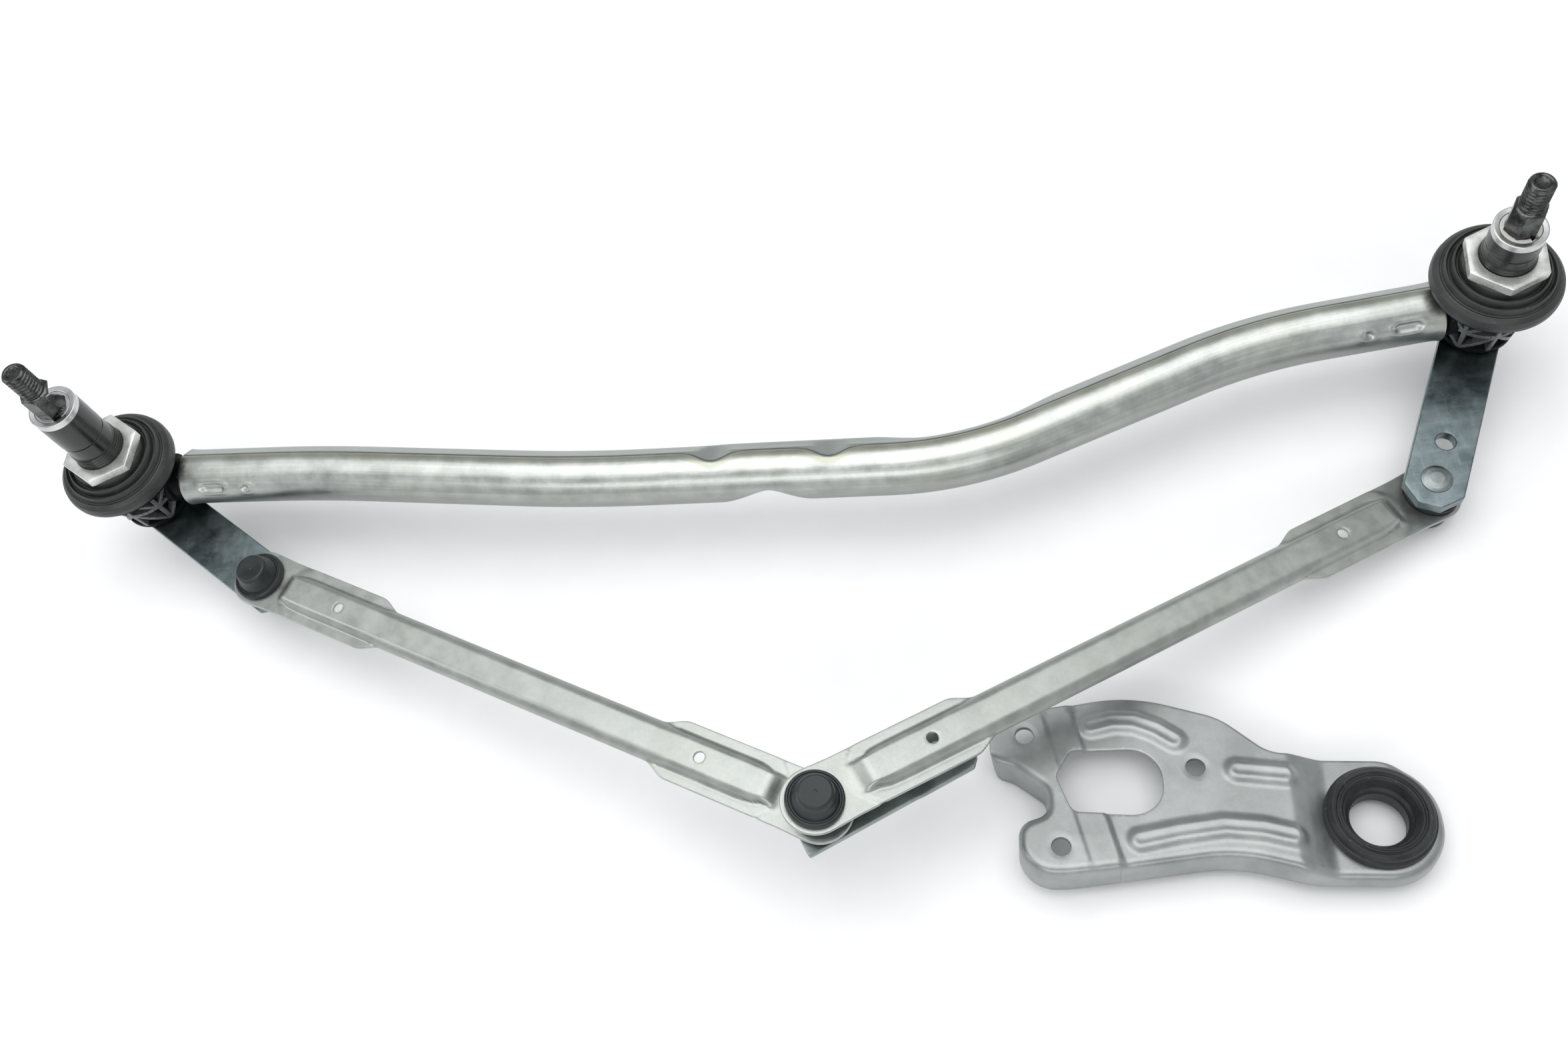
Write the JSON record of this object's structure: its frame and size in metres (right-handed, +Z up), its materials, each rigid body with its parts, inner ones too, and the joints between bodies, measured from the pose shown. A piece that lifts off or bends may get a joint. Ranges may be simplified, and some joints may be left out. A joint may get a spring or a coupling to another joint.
{
  "type": "windshield wiper linkage",
  "caption": "Tandem windshield wiper linkage: bent frame tube with a pivot and lever at each end, pressed link rods on ball joints, motor crank arm and a loose motor bracket.",
  "frame": {"origin": "left pivot axis, halfway up the plain part of its neck", "axes": "+X to the right pivot, +Y away from the link rods, +Z up along the pivot shafts"},
  "size_m": [0.628, 0.2457, 0.1324],
  "materials": {
    "housing_plastic": "satin black moulded plastic",
    "nut_steel": "bright zinc plate",
    "seal_rubber": "matt dark grey",
    "collar_metal": "satin",
    "pale_plastic": "satin off-white",
    "spring_steel": "oiled",
    "dark_steel": "oiled dark steel",
    "zinc_lever": "blue-grey zinc plate",
    "bright_steel": "satin",
    "zinc_tube": "bright galvanised",
    "pressed_steel": "matt galvanised",
    "socket_plastic": "satin black",
    "crank_steel": "zinc plate in shade",
    "bracket_steel": "matt zinc plate",
    "grommet_rubber": "matt black"
  },
  "bodies": {
    "frame": {"frame_tube": "zinc_tube", "left_body_seal": "seal_rubber", "left_lower_bush": "pale_plastic", "left_neck_collar": "collar_metal", "left_pivot_housing": "housing_plastic", "left_pivot_nut": "nut_steel", "left_shaft_seal": "seal_rubber", "left_thrust_washer": "pale_plastic", "left_upper_bush": "pale_plastic", "left_wave_washer": "spring_steel", "right_body_seal": "seal_rubber", "right_lower_bush": "pale_plastic", "right_neck_collar": "collar_metal", "right_pivot_housing": "housing_plastic", "right_pivot_nut": "nut_steel", "right_shaft_seal": "seal_rubber", "right_thrust_washer": "pale_plastic", "right_upper_bush": "pale_plastic", "right_wave_washer": "spring_steel"},
    "left_lever_arm": {"left_pivot_shaft": "dark_steel", "left_lever": "zinc_lever", "left_snap_ring": "spring_steel", "left_lever_ball_stud": "bright_steel"},
    "right_lever_arm": {"right_pivot_shaft": "dark_steel", "right_lever": "zinc_lever", "right_snap_ring": "spring_steel", "right_lever_ball_stud": "bright_steel"},
    "left_link": {"left_link_rod": "pressed_steel", "left_link_lever_socket": "socket_plastic", "left_link_crank_socket": "socket_plastic", "left_link_dust_ring": "seal_rubber", "crank_dust_ring": "seal_rubber"},
    "right_link": {"right_link_rod": "pressed_steel", "right_link_crank_socket": "socket_plastic", "right_link_lever_socket": "socket_plastic", "right_link_dust_ring": "seal_rubber"},
    "crank": {"motor_crank_arm": "crank_steel", "crank_ball_stud": "bright_steel"},
    "loose_bracket": {"motor_bracket": "bracket_steel", "bracket_grommet": "grommet_rubber"}
  },
  "joints": [
    {"name": "left_pivot", "type": "hinge", "parent": "frame", "child": "left_lever_arm", "pos_m": [0, 0, 0], "axis": [0, 0, 1], "range_deg": [-42, 0]},
    {"name": "right_pivot", "type": "hinge", "parent": "frame", "child": "right_lever_arm", "pos_m": [0.578, 0, 0], "axis": [0, 0, 1], "range_deg": [-26, 0]},
    {"name": "left_lever_ball", "type": "hinge", "parent": "left_lever_arm", "child": "left_link", "pos_m": [0.05736, -0.04986, -0.0635], "axis": [0, 0, 1], "range_deg": [0, 52.4]},
    {"name": "crank_top_ball", "type": "hinge", "parent": "left_link", "child": "right_link", "pos_m": [0.294, -0.1825, -0.031], "axis": [0, 0, 1], "range_deg": [-9.4, 0]},
    {"name": "crank_low_ball", "type": "hinge", "parent": "left_link", "child": "crank", "pos_m": [0.294, -0.1825, -0.044], "axis": [0, 0, 1], "continuous": true},
    {"name": "bracket_slide", "type": "slide", "parent": "frame", "child": "loose_bracket", "axis": [0, -1, 0], "range_m": [0, 0.06]}
  ],
  "couplings": [
    {"joint": "right_pivot", "follows": "left_pivot", "ratio": 0.615},
    {"joint": "left_lever_ball", "follows": "left_pivot", "ratio": -1.245},
    {"joint": "crank_top_ball", "follows": "left_pivot", "ratio": 0.222}
  ]
}
